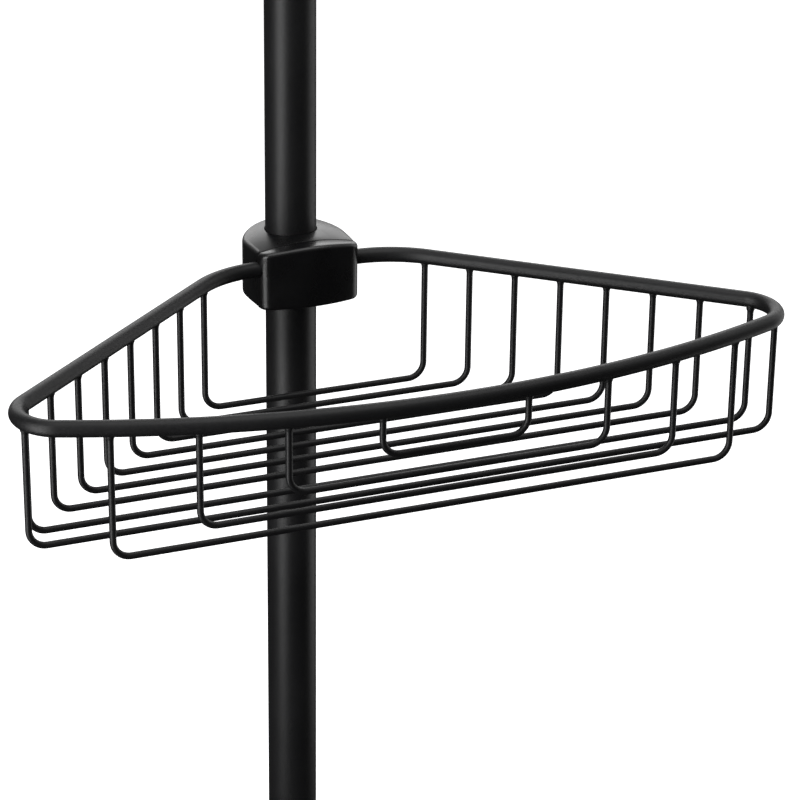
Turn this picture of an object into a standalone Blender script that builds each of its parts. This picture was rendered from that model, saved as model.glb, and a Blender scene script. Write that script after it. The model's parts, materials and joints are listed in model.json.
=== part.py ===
"""Tension-pole corner shower caddy: a telescoping steel pole with two wire corner baskets.

Blender 4.5, metres, +Z up. The origin is the middle of the floor pad's underside, on the pole's axis.
The bathroom's corner is behind the pole (+Y), and each basket opens towards -Y.
"""

import math

import bmesh
import bpy
from mathutils import Matrix, Vector

MM = 0.001
GAP = 0.3 * MM  # between pieces that touch

# Pole
POLE_RADIUS = 12.5 * MM
POLE_WALL = 1.2 * MM
LOWER_TUBE_LENGTH = 640 * MM
UPPER_TUBE_LENGTH = 560 * MM
SLIDING_CLEARANCE = 0.6 * MM  # all round, inside the upper tube
SLIDING_RADIUS = POLE_RADIUS - POLE_WALL - SLIDING_CLEARANCE
SLIDING_WALL = 1.2 * MM
SLIDING_LENGTH = 520 * MM
SLIDING_SHOWN = 20 * MM  # bare tube above the lock collar when the pole is at its shortest
JOINER_HALF_LENGTH = 40 * MM
JOINER_WALL = 2.0 * MM
BUSH_LENGTH = 30 * MM

# Feet
FOOT_RADIUS = 25 * MM
FOOT_HEIGHT = 26 * MM
FOOT_BASE = 7 * MM
PAD_THICKNESS = 4 * MM
PAD_INSET = 1.5 * MM
SOCKET_WALL = 2.5 * MM

# Lock collar at the top of the upper tube
LOCK_WALL = 4.5 * MM
LOCK_RADIUS = POLE_RADIUS + LOCK_WALL
LOCK_HEIGHT = 34 * MM
LOCK_LIP = 6 * MM
LOCK_RIBS = 12
RIB_RADIUS = 1.4 * MM

# Ceiling spring
SPRING_WIRE = 1.0 * MM
SPRING_TURNS = 7
SPRING_LENGTH = 46 * MM
PLUNGER_ROOM = 1.3 * MM  # between the plunger and the sliding tube, for the bush
PLUNGER_RADIUS = SLIDING_RADIUS - SLIDING_WALL - PLUNGER_ROOM
PLUNGER_LENGTH = 70 * MM
PLUNGER_TRAVEL = 20 * MM
SEAT_THICKNESS = 5 * MM

# Baskets: heights of the rims above the floor, and the rim's plan
RIM_HEIGHTS = {"lower": 480 * MM, "upper": 960 * MM}
RIM_RADIUS = 3.75 * MM
RIM_TO_POLE = 9.8 * MM  # from the pole's face to the middle of the rim's straight back
RIM_BACK = POLE_RADIUS + RIM_TO_POLE
BASKET_FRONT = 204.2 * MM
BOW_RADIUS = 460 * MM
SIDE_ANGLE = math.radians(47.9)
SIDE_START = 19.1 * MM  # half width where the side's line crosses the pole's plane
BACK_BEND = 49 * MM
CORNER_RADIUS = 18.8 * MM

# Basket wires
WIRE_RADIUS = 1.55 * MM
WIRE_BEND = 8 * MM
SIDE_WIRES = 7
FIRST_WIRE_AHEAD = 11.8 * MM  # of the rim's straight back
WIRE_PITCH = 15.35 * MM
CORNER_WIRES = ((144.7 * MM, 2.4 * MM), (160.2 * MM, 0))  # how far forward, and how far inside the rim's middle
FRONT_WIRES = (148.5 * MM, 112.7 * MM, 75.3 * MM, 34.3 * MM)  # half widths of the four under the bow
BACK_DEPTH = 62.9 * MM
CORNER_DEPTH = 58.7 * MM
FRONT_DEPTH = 60.6 * MM
DEPTH_STEP = 13.1 * MM  # each of the last three wires is this much shallower

# Clamp housing
HOUSING_TOP = 11 * MM
HOUSING_BOTTOM = 20 * MM
CROWN_RADIUS = 115 * MM
CROWN_STRIPS = 5  # flat strips on each half of the arched top
SHELL_SIDE_WALL = 13.5 * MM
SHELL_HALF_WIDTH = POLE_RADIUS + SHELL_SIDE_WALL
SHELL_WIDEST = 6 * MM  # in front of the pole's axis
SHELL_BACK_WALL = 5.1 * MM
SHELL_BACK = POLE_RADIUS + SHELL_BACK_WALL
SHELL_FRONT_TAPER = 65 * MM
COVER_STEP = 0.5 * MM  # the cover is this much narrower on each side than the shell
COVER_HALF_WIDTH = SHELL_HALF_WIDTH - COVER_STEP
COVER_THICKNESS = 9.2 * MM
COVER_FRONT = RIM_BACK + COVER_THICKNESS
COVER_BOW_RISE = 4.1 * MM  # how much further forward the cover's middle is than its sides
COVER_BOW_RADIUS = (COVER_HALF_WIDTH**2 + COVER_BOW_RISE**2) / (2 * COVER_BOW_RISE)
COVER_CORNER = 4.2 * MM
HOUSING_EDGE = 1.4 * MM
SEAM = 0.35 * MM
SOCKET_CLEARANCE = 0.3 * MM

# Split collar that wedges the housing on the pole
COLLAR_CLEARANCE = 0.15 * MM
COLLAR_TOP_WALL = 1.2 * MM
COLLAR_BOTTOM_WALL = 2.3 * MM
COLLAR_SPLIT = 0.8 * MM
COLLAR_INSET = 1.0 * MM

# Housing screws
SCREW_TO_POLE = 7 * MM
SCREW_X = POLE_RADIUS + SCREW_TO_POLE
SCREW_Z = -13 * MM
SCREW_SEAT_DEPTH = 12.3 * MM  # behind the rim's middle
SCREW_SEAT = SCREW_SEAT_DEPTH - RIM_BACK  # the head's underside, along Y
SCREW_LENGTH = 16 * MM
SCREW_RADIUS = 1.5 * MM
SCREW_HEAD_RADIUS = 2.7 * MM
SCREW_HEAD_HEIGHT = 2.0 * MM
SCREW_CLEARANCE = 0.3 * MM

BLACK_POWDER = ("black_powder_coat", (0.016, 0.016, 0.017), 0.42, 0.0)
BLACK_PLASTIC = ("black_plastic", (0.012, 0.012, 0.013), 0.28, 0.0)
GREY_PLASTIC = ("grey_plastic", (0.09, 0.09, 0.095), 0.5, 0.0)
BLACK_RUBBER = ("black_rubber", (0.02, 0.02, 0.02), 0.8, 0.0)
ZINC_STEEL = ("zinc_steel", (0.55, 0.56, 0.58), 0.35, 1.0)


def clearScene():
    for obj in list(bpy.data.objects):
        bpy.data.objects.remove(obj, do_unlink=True)


def makeCollection(name):
    collection = bpy.data.collections.new(name)
    bpy.context.scene.collection.children.link(collection)
    return collection


def finish(name, look):
    """The material for one piece."""
    kind, colour, roughness, metallic = look
    material = bpy.data.materials.new(f"{kind}_{name}")
    material.use_nodes = True
    shader = material.node_tree.nodes["Principled BSDF"]
    shader.inputs["Base Color"].default_value = (*colour, 1)
    shader.inputs["Roughness"].default_value = roughness
    shader.inputs["Metallic"].default_value = metallic
    material.diffuse_color = (*colour, 1)
    return material


def addObject(name, data, look, location=(0, 0, 0)):
    obj = bpy.data.objects.new(name, data)
    obj.location = location
    data.materials.append(finish(name, look))
    parts.objects.link(obj)
    return obj


def addCutter(name, data, location=(0, 0, 0)):
    obj = bpy.data.objects.new(name, data)
    obj.location = location
    obj.hide_render = True
    obj.display_type = "WIRE"
    cutters.objects.link(obj)
    return obj


def cut(obj, cutter, operation="DIFFERENCE"):
    boolean = obj.modifiers.new(f"{operation.lower()}_{cutter.name}", "BOOLEAN")
    boolean.operation = operation
    boolean.solver = "EXACT"
    boolean.object = cutter


def coneMesh(name, bottomRadius, topRadius, bottom, top, sides=32):
    """A closed cone or cylinder on Z, between two heights."""
    mesh = bpy.data.meshes.new(name)
    bm = bmesh.new()
    bmesh.ops.create_cone(
        bm,
        cap_ends=True,
        segments=sides,
        radius1=bottomRadius,
        radius2=topRadius,
        depth=top - bottom,
        matrix=Matrix.Translation((0, 0, (top + bottom) / 2)),
    )
    bm.to_mesh(mesh)
    bm.free()
    return mesh


def turned(name, profile, look, location=(0, 0, 0), sides=32):
    """A closed profile of (radius, height) points, turned about Z. It runs down the outer side first."""
    mesh = bpy.data.meshes.new(name)
    bm = bmesh.new()
    points = [bm.verts.new((radius, 0, height)) for radius, height in profile]
    onAxis = profile[0][0] == 0 and profile[-1][0] == 0
    for start, end in zip(points, points[1:]):
        bm.edges.new((start, end))
    if not onAxis:
        bm.edges.new((points[-1], points[0]))
    bm.to_mesh(mesh)
    bm.free()
    obj = addObject(name, mesh, look, location)
    screw = obj.modifiers.new("turn", "SCREW")
    screw.steps = sides
    screw.render_steps = sides
    screw.use_merge_vertices = True
    screw.merge_threshold = 0.01 * MM
    screw.use_smooth_shade = True
    return obj


def tube(name, radius, wall, bottom, top, look, sides=32):
    inner = radius - wall
    return turned(name, [(radius, top), (radius, bottom), (inner, bottom), (inner, top)], look, sides=sides)


def rod(name, points, radius, look, cyclic=False, resolution=1, location=(0, 0, 0)):
    """A round rod along straight runs between the points."""
    curve = bpy.data.curves.new(name, "CURVE")
    curve.dimensions = "3D"
    curve.bevel_depth = radius
    curve.bevel_resolution = resolution
    curve.use_fill_caps = not cyclic
    spline = curve.splines.new("POLY")
    spline.points.add(len(points) - 1)
    for target, point in zip(spline.points, points):
        target.co = (*point, 1)
    spline.use_cyclic_u = cyclic
    return addObject(name, curve, look, location)


def arcPoints(centre, radius, start, end, steps):
    """Plan points on an arc, from one angle to another, with both ends."""
    angles = [start + (end - start) * step / steps for step in range(steps + 1)]
    return [Vector((centre[0] + radius * math.cos(a), centre[1] + radius * math.sin(a))) for a in angles]


def rimHalf():
    """Plan points of the rim's right half, from the middle of the back to the middle of the front."""
    along = Vector((math.sin(SIDE_ANGLE), -math.cos(SIDE_ANGLE)))
    inward = Vector((-math.cos(SIDE_ANGLE), -math.sin(SIDE_ANGLE)))
    outwardAngle = math.atan2(-inward.y, -inward.x)
    bendY = -RIM_BACK - BACK_BEND
    bendX = SIDE_START + (BACK_BEND - bendY * inward.y) / inward.x
    bend = arcPoints((bendX, bendY), BACK_BEND, math.pi / 2, outwardAngle, 8)
    bowCentre = Vector((0, BOW_RADIUS - BASKET_FRONT))
    base = Vector((SIDE_START, 0)) + inward * CORNER_RADIUS
    offset = base - bowCentre
    reach = offset.dot(along)
    rest = offset.length_squared - (BOW_RADIUS - CORNER_RADIUS) ** 2
    corner = base + along * (math.sqrt(reach * reach - rest) - reach)
    toCorner = corner - bowCentre
    bowAngle = math.atan2(toCorner.y, toCorner.x)
    turn = arcPoints(corner, CORNER_RADIUS, outwardAngle, bowAngle, 9)
    bow = arcPoints(bowCentre, BOW_RADIUS, bowAngle, -math.pi / 2, 9)
    return [Vector((0, -RIM_BACK))] + bend + turn + bow[1:]


def rimWidthAt(forward):
    """Half the rim's width, this far in front of the pole's axis."""
    half = rimHalf()
    for start, end in zip(half, half[1:]):
        if start.y >= -forward >= end.y and start.y != end.y:
            share = (start.y + forward) / (start.y - end.y)
            return start.x + (end.x - start.x) * share
    return half[-1].x


def bowForward(halfWidth):
    """How far forward the bow is at this half width."""
    return BASKET_FRONT - BOW_RADIUS + math.sqrt(BOW_RADIUS**2 - halfWidth**2)


def wireStations():
    """Half width, distance forward and depth of each wire, from back to front."""
    stations = []
    first = RIM_BACK + FIRST_WIRE_AHEAD
    sides = [(first + WIRE_PITCH * index, 0) for index in range(SIDE_WIRES)]
    landings = sides + list(CORNER_WIRES)
    for index, (forward, inset) in enumerate(landings):
        share = index / (len(landings) - 1)
        depth = BACK_DEPTH + (CORNER_DEPTH - BACK_DEPTH) * share
        stations.append((rimWidthAt(forward) - inset, forward, depth))
    for index, halfWidth in enumerate(FRONT_WIRES):
        stations.append((halfWidth, bowForward(halfWidth), FRONT_DEPTH - DEPTH_STEP * index))
    return stations


def wirePoints(halfWidth, forward, depth):
    """A U of wire: down from under the rim, across and up again."""
    top = -(RIM_RADIUS + GAP)
    reach = halfWidth - WIRE_BEND
    low = arcPoints((reach, -depth + WIRE_BEND), WIRE_BEND, 0, -math.pi / 2, 4)
    right = [Vector((halfWidth, top))] + low
    left = [Vector((-point.x, point.y)) for point in reversed(right)]
    return [Vector((point.x, -forward, point.y)) for point in right + left]


def buildRim(level, height):
    half = rimHalf()
    plan = half + [Vector((-point.x, point.y)) for point in reversed(half[1:-1])]
    points = [Vector((point.x, point.y, 0)) for point in plan]
    rod(f"{level}_rim", points, RIM_RADIUS, BLACK_POWDER, cyclic=True, resolution=2, location=(0, 0, height))


def buildWires(level, height):
    for index, station in enumerate(wireStations(), 1):
        name = f"{level}_wire_{index:02d}"
        rod(name, wirePoints(*station), WIRE_RADIUS, BLACK_POWDER, location=(0, 0, height))


def crownDrop(x):
    """How much lower the arched top is, this far from the middle."""
    return CROWN_RADIUS - math.sqrt(CROWN_RADIUS**2 - x**2)


def housingMesh(name, outline, seamY):
    """The outline made solid, with softened edges and an arched top. The seam's side stays flat."""
    mesh = bpy.data.meshes.new(name)
    bm = bmesh.new()
    low = -HOUSING_BOTTOM + HOUSING_EDGE
    high = HOUSING_TOP - HOUSING_EDGE
    floor = bm.faces.new([bm.verts.new((x, y, low)) for x, y in reversed(outline)])
    raised = bmesh.ops.extrude_face_region(bm, geom=[floor], use_keep_orig=True)["geom"]
    verts = [item for item in raised if isinstance(item, bmesh.types.BMVert)]
    top = [item for item in raised if isinstance(item, bmesh.types.BMFace)]
    bmesh.ops.translate(bm, verts=verts, vec=(0, 0, high - low))
    bmesh.ops.recalc_face_normals(bm, faces=bm.faces)
    for cap in (floor, top[0]):
        for inset, rise in ((0.3, 0.7), (0.7, 0.3)):
            bmesh.ops.inset_region(
                bm,
                faces=[cap],
                thickness=HOUSING_EDGE * inset,
                depth=HOUSING_EDGE * rise,
                use_boundary=True,
                use_even_offset=True,
            )
    for vert in bm.verts:
        if abs(vert.co.y - seamY) < HOUSING_EDGE * 1.05:
            vert.co.y = seamY
    for step in range(-CROWN_STRIPS + 1, CROWN_STRIPS):
        cutFrom = [face for face in bm.faces if face.normal.z > 0.99]
        around = {item for face in cutFrom for item in (*face.verts, *face.edges)}
        plane = (SHELL_HALF_WIDTH * step / CROWN_STRIPS, 0, 0)
        bmesh.ops.bisect_plane(bm, geom=[*cutFrom, *around], plane_co=plane, plane_no=(1, 0, 0))
    for vert in bm.verts:
        if vert.co.z > 0:
            vert.co.z -= crownDrop(vert.co.x)
    bmesh.ops.remove_doubles(bm, verts=bm.verts, dist=0.001 * MM)
    bmesh.ops.triangulate(bm, faces=bm.faces)
    bm.to_mesh(mesh)
    bm.free()
    return mesh


def shellOutline(seamY):
    """The rear shell's plan: a rounded back, and sides that draw in towards the seam."""
    taper = math.asin((-seamY - SHELL_WIDEST) / SHELL_FRONT_TAPER)
    right = []
    for step in range(4):
        angle = -taper * (1 - step / 4)
        right.append((SHELL_HALF_WIDTH * math.cos(angle), -SHELL_WIDEST + SHELL_FRONT_TAPER * math.sin(angle)))
    for step in range(13):
        angle = math.pi / 2 * step / 12
        reach = SHELL_BACK + SHELL_WIDEST
        right.append((SHELL_HALF_WIDTH * math.cos(angle), -SHELL_WIDEST + reach * math.sin(angle)))
    right[-1] = (0, SHELL_BACK)
    left = [(-x, y) for x, y in reversed(right[:-1])]
    return right + left


def coverOutline(seamY):
    """The front cover's plan: flat at the seam, and bowed at the front with round corners."""
    bowY = COVER_BOW_RADIUS - COVER_FRONT
    cornerX = COVER_HALF_WIDTH - COVER_CORNER
    cornerY = bowY - math.sqrt((COVER_BOW_RADIUS - COVER_CORNER) ** 2 - cornerX**2)
    meet = math.atan2(cornerY - bowY, cornerX)
    corner = arcPoints((cornerX, cornerY), COVER_CORNER, 0, meet, 5)
    bow = arcPoints((0, bowY), COVER_BOW_RADIUS, meet, -math.pi / 2, 6)
    right = [(COVER_HALF_WIDTH, seamY)] + [tuple(point) for point in corner + bow[1:]]
    right[-1] = (0, -COVER_FRONT)
    left = [(-x, y) for x, y in reversed(right[:-1])]
    return right + left


def boreRadius(wall):
    return POLE_RADIUS + COLLAR_CLEARANCE + wall + GAP


def buildHousing(level, height):
    """The rear shell and the front cover close round the rim's straight back."""
    shellSeam = -RIM_BACK + SEAM / 2
    coverSeam = -RIM_BACK - SEAM / 2
    shellMesh = housingMesh(f"{level}_rear_shell", shellOutline(shellSeam), shellSeam)
    coverMesh = housingMesh(f"{level}_front_cover", coverOutline(coverSeam), coverSeam)
    shell = addObject(f"{level}_rear_shell", shellMesh, BLACK_PLASTIC, (0, 0, height))
    cover = addObject(f"{level}_front_cover", coverMesh, BLACK_PLASTIC, (0, 0, height))
    boreMesh = coneMesh(
        f"{level}_bore",
        boreRadius(COLLAR_BOTTOM_WALL),
        boreRadius(COLLAR_TOP_WALL),
        -HOUSING_BOTTOM - 1 * MM,
        HOUSING_TOP + 1 * MM,
    )
    cut(shell, addCutter(f"{level}_bore", boreMesh, (0, 0, height)))
    channelMesh = coneMesh(
        f"{level}_rim_channel",
        RIM_RADIUS + SOCKET_CLEARANCE,
        RIM_RADIUS + SOCKET_CLEARANCE,
        -SHELL_HALF_WIDTH * 1.5,
        SHELL_HALF_WIDTH * 1.5,
        16,
    )
    channel = addCutter(f"{level}_rim_channel", channelMesh, (0, -RIM_BACK, height))
    channel.rotation_euler.y = math.pi / 2
    cut(shell, channel)
    cut(cover, channel)
    for side, x in (("left", -SCREW_X), ("right", SCREW_X)):
        spot = (x, SCREW_SEAT, height + SCREW_Z)
        shaftHole, headHole = screwHoleCutters(f"{level}_screw_hole_{side}", spot)
        cut(shell, shaftHole)
        cut(shell, headHole)
        cut(cover, shaftHole)
        screw = turned(f"{level}_screw_{side}", screwProfile(), ZINC_STEEL, spot, 12)
        screw.rotation_euler.x = -math.pi / 2


def screwProfile():
    """The screw points down, and its head's underside is at zero."""
    shaft = SCREW_RADIUS
    head = SCREW_HEAD_RADIUS
    return [
        (0, SCREW_HEAD_HEIGHT),
        (head * 0.7, SCREW_HEAD_HEIGHT),
        (head, SCREW_HEAD_HEIGHT * 0.5),
        (head, 0),
        (shaft, 0),
        (shaft, -SCREW_LENGTH + shaft),
        (0, -SCREW_LENGTH),
    ]


def screwHoleCutters(name, spot):
    """A hole for the screw's shaft, and a wider one for its head, open at the back."""
    shaft = SCREW_RADIUS + SCREW_CLEARANCE
    head = SCREW_HEAD_RADIUS + SCREW_CLEARANCE
    shaftMesh = coneMesh(f"{name}_shaft", shaft, shaft, -SCREW_LENGTH - 0.5 * MM, SCREW_HEAD_HEIGHT, 12)
    headMesh = coneMesh(f"{name}_head", head, head, -GAP, SHELL_BACK + SHELL_HALF_WIDTH, 12)
    holes = [addCutter(mesh.name, mesh, spot) for mesh in (shaftMesh, headMesh)]
    for hole in holes:
        hole.rotation_euler.x = -math.pi / 2
    return holes


def buildCollar(level, height):
    """Two half collars, thicker at the bottom, so that the housing wedges on them."""
    inner = POLE_RADIUS + COLLAR_CLEARANCE
    bottom = -HOUSING_BOTTOM + COLLAR_INSET
    top = HOUSING_TOP - COLLAR_INSET
    for side, sign in (("left", -1), ("right", 1)):
        profile = [
            (inner + COLLAR_TOP_WALL, top),
            (inner + COLLAR_BOTTOM_WALL, bottom),
            (inner, bottom),
            (inner, top),
        ]
        half = turned(f"{level}_collar_{side}", profile, GREY_PLASTIC, (0, 0, height))
        mesh = bpy.data.meshes.new(f"{level}_collar_cut_{side}")
        bm = bmesh.new()
        size = 3 * POLE_RADIUS
        bmesh.ops.create_cube(bm, size=1, matrix=Matrix.Diagonal((size, 2 * size, 4 * size, 1)))
        bm.to_mesh(mesh)
        bm.free()
        offset = sign * (COLLAR_SPLIT / 2 - size / 2)
        cut(half, addCutter(f"{level}_collar_cut_{side}", mesh, (offset, 0, height)))


def footProfile(tubeRadius, sign):
    """A cup with a flange on its flat side and a socket for the tube."""
    outer = tubeRadius + GAP + SOCKET_WALL
    points = [
        (0, 0),
        (FOOT_RADIUS, 0),
        (FOOT_RADIUS, FOOT_BASE * 0.6),
        (FOOT_RADIUS - FOOT_BASE * 0.4, FOOT_BASE),
        (outer + 2 * MM, FOOT_BASE + 2 * MM),
        (outer, FOOT_BASE + 6 * MM),
        (outer, FOOT_HEIGHT),
        (tubeRadius + GAP, FOOT_HEIGHT),
        (tubeRadius + GAP, FOOT_BASE),
        (0, FOOT_BASE),
    ]
    return [(radius, sign * height) for radius, height in (reversed(points) if sign > 0 else points)]


def padProfile(sign):
    edge = FOOT_RADIUS - PAD_INSET
    points = [(0, 0), (edge - 1 * MM, 0), (edge, 1 * MM), (edge, PAD_THICKNESS - GAP), (0, PAD_THICKNESS - GAP)]
    return [(radius, sign * height) for radius, height in (reversed(points) if sign > 0 else points)]


def buildFloorFoot():
    turned("floor_pad", padProfile(1), BLACK_RUBBER)
    turned("floor_foot", footProfile(POLE_RADIUS, 1), BLACK_PLASTIC, (0, 0, PAD_THICKNESS))


def heights():
    """Heights up the pole, worked out from the lengths."""
    lowerBottom = PAD_THICKNESS + FOOT_BASE + GAP
    lowerTop = lowerBottom + LOWER_TUBE_LENGTH
    upperBottom = lowerTop + GAP
    upperTop = upperBottom + UPPER_TUBE_LENGTH
    lockTop = upperTop + LOCK_LIP
    slidingTop = lockTop + SLIDING_SHOWN
    return lowerBottom, lowerTop, upperBottom, upperTop, lockTop, slidingTop


def buildPole():
    lowerBottom, lowerTop, upperBottom, upperTop, _, slidingTop = heights()
    tube("lower_tube", POLE_RADIUS, POLE_WALL, lowerBottom, lowerTop, BLACK_POWDER)
    tube("upper_tube", POLE_RADIUS, POLE_WALL, upperBottom, upperTop, BLACK_POWDER)
    joinerRadius = POLE_RADIUS - POLE_WALL - GAP
    middle = (lowerTop + upperBottom) / 2
    tube("tube_joiner", joinerRadius, JOINER_WALL, middle - JOINER_HALF_LENGTH, middle + JOINER_HALF_LENGTH, ZINC_STEEL)
    slidingBottom = slidingTop - SLIDING_LENGTH
    tube("sliding_tube", SLIDING_RADIUS, SLIDING_WALL, slidingBottom, slidingTop, BLACK_POWDER)


def buildLockCollar():
    """A ribbed ring that is turned to lock the sliding tube."""
    _, _, _, upperTop, lockTop, _ = heights()
    bottom = lockTop - LOCK_HEIGHT
    wide = POLE_RADIUS + GAP
    narrow = SLIDING_RADIUS + GAP
    edge = 1.5 * MM
    shoulder = upperTop + GAP
    profile = [
        (LOCK_RADIUS - edge, lockTop),
        (LOCK_RADIUS, lockTop - edge),
        (LOCK_RADIUS, bottom + edge),
        (LOCK_RADIUS - edge, bottom),
        (wide, bottom),
        (wide, shoulder),
        (narrow, shoulder),
        (narrow, lockTop),
    ]
    collar = turned("lock_collar", profile, BLACK_PLASTIC, sides=48)
    for index in range(LOCK_RIBS):
        angle = 2 * math.pi * index / LOCK_RIBS
        spot = (LOCK_RADIUS * math.cos(angle), LOCK_RADIUS * math.sin(angle), 0)
        mesh = coneMesh(f"grip_groove_{index}", RIB_RADIUS, RIB_RADIUS, bottom + 4 * MM, lockTop - 4 * MM, 8)
        cut(collar, addCutter(f"grip_groove_{index}", mesh, spot))


def buildCeilingEnd():
    """The ceiling foot's plunger pushes into the sliding tube, against a spring on a seat."""
    slidingTop = heights()[-1]
    inner = SLIDING_RADIUS - SLIDING_WALL
    footFace = slidingTop + PLUNGER_TRAVEL + FOOT_HEIGHT
    profile = [
        (0, footFace),
        (FOOT_RADIUS, footFace),
        (FOOT_RADIUS, footFace - FOOT_BASE * 0.6),
        (FOOT_RADIUS - FOOT_BASE * 0.4, footFace - FOOT_BASE),
        (SLIDING_RADIUS + 2 * MM, footFace - FOOT_BASE - 4 * MM),
        (SLIDING_RADIUS, slidingTop + PLUNGER_TRAVEL + 1 * MM),
        (PLUNGER_RADIUS, slidingTop + PLUNGER_TRAVEL),
        (PLUNGER_RADIUS, footFace - PLUNGER_LENGTH),
        (0, footFace - PLUNGER_LENGTH),
    ]
    turned("ceiling_foot", profile, BLACK_PLASTIC)
    turned("ceiling_pad", padProfile(-1), BLACK_RUBBER, (0, 0, footFace + PAD_THICKNESS))
    bush = [
        (inner - GAP, slidingTop - 1 * MM),
        (inner - GAP, slidingTop - 1 * MM - BUSH_LENGTH),
        (PLUNGER_RADIUS + GAP, slidingTop - 1 * MM - BUSH_LENGTH),
        (PLUNGER_RADIUS + GAP, slidingTop - 1 * MM),
    ]
    turned("plunger_bush", bush, GREY_PLASTIC)
    springTop = footFace - PLUNGER_LENGTH - GAP
    springBottom = springTop - SPRING_LENGTH
    seatTop = springBottom - GAP
    seat = [(0, seatTop), (inner - GAP, seatTop), (inner - GAP, seatTop - SEAT_THICKNESS), (0, seatTop - SEAT_THICKNESS)]
    turned("spring_seat", seat, GREY_PLASTIC)
    buildSpring(springBottom, springTop)


def buildSpring(bottom, top):
    coilRadius = PLUNGER_RADIUS - SPRING_WIRE - GAP
    perTurn = 12
    steps = SPRING_TURNS * perTurn
    low = bottom + SPRING_WIRE
    rise = top - bottom - 2 * SPRING_WIRE
    points = []
    for step in range(steps + 1):
        angle = 2 * math.pi * step / perTurn
        points.append((coilRadius * math.cos(angle), coilRadius * math.sin(angle), low + rise * step / steps))
    rod("ceiling_spring", points, SPRING_WIRE, ZINC_STEEL)


clearScene()
parts = makeCollection("corner_shower_caddy")
cutters = makeCollection("cutters")
buildFloorFoot()
buildPole()
buildLockCollar()
buildCeilingEnd()
for levelName, rimHeight in RIM_HEIGHTS.items():
    buildRim(levelName, rimHeight)
    buildWires(levelName, rimHeight)
    buildHousing(levelName, rimHeight)
    buildCollar(levelName, rimHeight)
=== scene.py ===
# Looks of a corner shower caddy on a tension pole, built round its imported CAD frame. Metres, +Z up.
import json
import math

import bmesh
import bpy
from mathutils import Matrix, Vector


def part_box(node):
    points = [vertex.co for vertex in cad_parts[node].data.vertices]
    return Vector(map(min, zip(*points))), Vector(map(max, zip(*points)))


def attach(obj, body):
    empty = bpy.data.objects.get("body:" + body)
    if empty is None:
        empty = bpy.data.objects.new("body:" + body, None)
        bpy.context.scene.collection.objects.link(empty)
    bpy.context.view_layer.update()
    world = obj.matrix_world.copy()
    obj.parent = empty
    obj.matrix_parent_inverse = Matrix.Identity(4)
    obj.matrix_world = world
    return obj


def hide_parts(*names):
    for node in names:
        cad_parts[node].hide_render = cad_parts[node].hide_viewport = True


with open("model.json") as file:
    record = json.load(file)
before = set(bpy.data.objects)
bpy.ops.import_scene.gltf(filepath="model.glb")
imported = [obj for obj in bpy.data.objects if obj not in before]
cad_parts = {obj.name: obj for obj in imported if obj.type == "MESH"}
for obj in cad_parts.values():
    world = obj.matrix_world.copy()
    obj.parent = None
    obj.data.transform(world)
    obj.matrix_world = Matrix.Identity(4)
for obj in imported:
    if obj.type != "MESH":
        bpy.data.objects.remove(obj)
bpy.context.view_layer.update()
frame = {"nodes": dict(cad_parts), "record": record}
levels = ("lower", "upper")
mm = 0.001
tolerance = 0.01 * mm  # for finding edges by their place
mergeReach = 0.001 * mm  # vertices this near are one
roundSteps = 96  # faces round the pole and round what shares its axis
print("frame loaded:", len(frame["nodes"]), "nodes")


def hexColour(code):
    # sRGB hex to the linear values that shaders take
    values = [int(code[i : i + 2], 16) / 255 for i in (1, 3, 5)]
    linear = [v / 12.92 if v <= 0.04045 else ((v + 0.055) / 1.055) ** 2.4 for v in values]
    return (*linear, 1.0)


def addNode(tree, kind, settings=None, links=None):
    # settings name a node property or an input; links give an input its source socket
    node = tree.nodes.new(kind)
    for name, value in (settings or {}).items():
        if isinstance(name, str) and hasattr(node, name):
            setattr(node, name, value)
        else:
            node.inputs[name].default_value = value
    for name, source in (links or {}).items():
        tree.links.new(source, node.inputs[name])
    return node


def newMaterial(name):
    material = bpy.data.materials.new(name)
    material.use_nodes = True
    tree = material.node_tree
    tree.nodes.clear()
    shader = addNode(tree, "ShaderNodeBsdfPrincipled")
    output = addNode(tree, "ShaderNodeOutputMaterial")
    tree.links.new(shader.outputs["BSDF"], output.inputs["Surface"])
    place = addNode(tree, "ShaderNodeTexCoord").outputs["Object"]
    return material, tree, shader, place


def addRamp(tree, source, low, high, colours):
    # a colour ramp between two values of the source
    ramp = addNode(tree, "ShaderNodeValToRGB", links={"Fac": source})
    ramp.color_ramp.elements[0].position = low
    ramp.color_ramp.elements[0].color = colours[0]
    ramp.color_ramp.elements[1].position = high
    ramp.color_ramp.elements[1].color = colours[1]
    return ramp.outputs["Color"]


noiseSpan = {"From Min": 0.3, "From Max": 0.7}  # where most of a noise texture's values lie

powderCoat = {
    "colour": "#101011",
    "colourWorn": "#171718",
    "cloudSize": 45 * mm,
    "roughness": (0.38, 0.48),
    "specular": 0.3,
    "ior": 1.5,
    "peelSize": 1.1 * mm,  # orange-peel waves; the real ones, about 0.4 mm, wouldn't show
    "grainSize": 0.35 * mm,
    "grainShare": 0.25,
    "bump": 0.05 * mm,
    "bumpStrength": 0.35,
}


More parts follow.
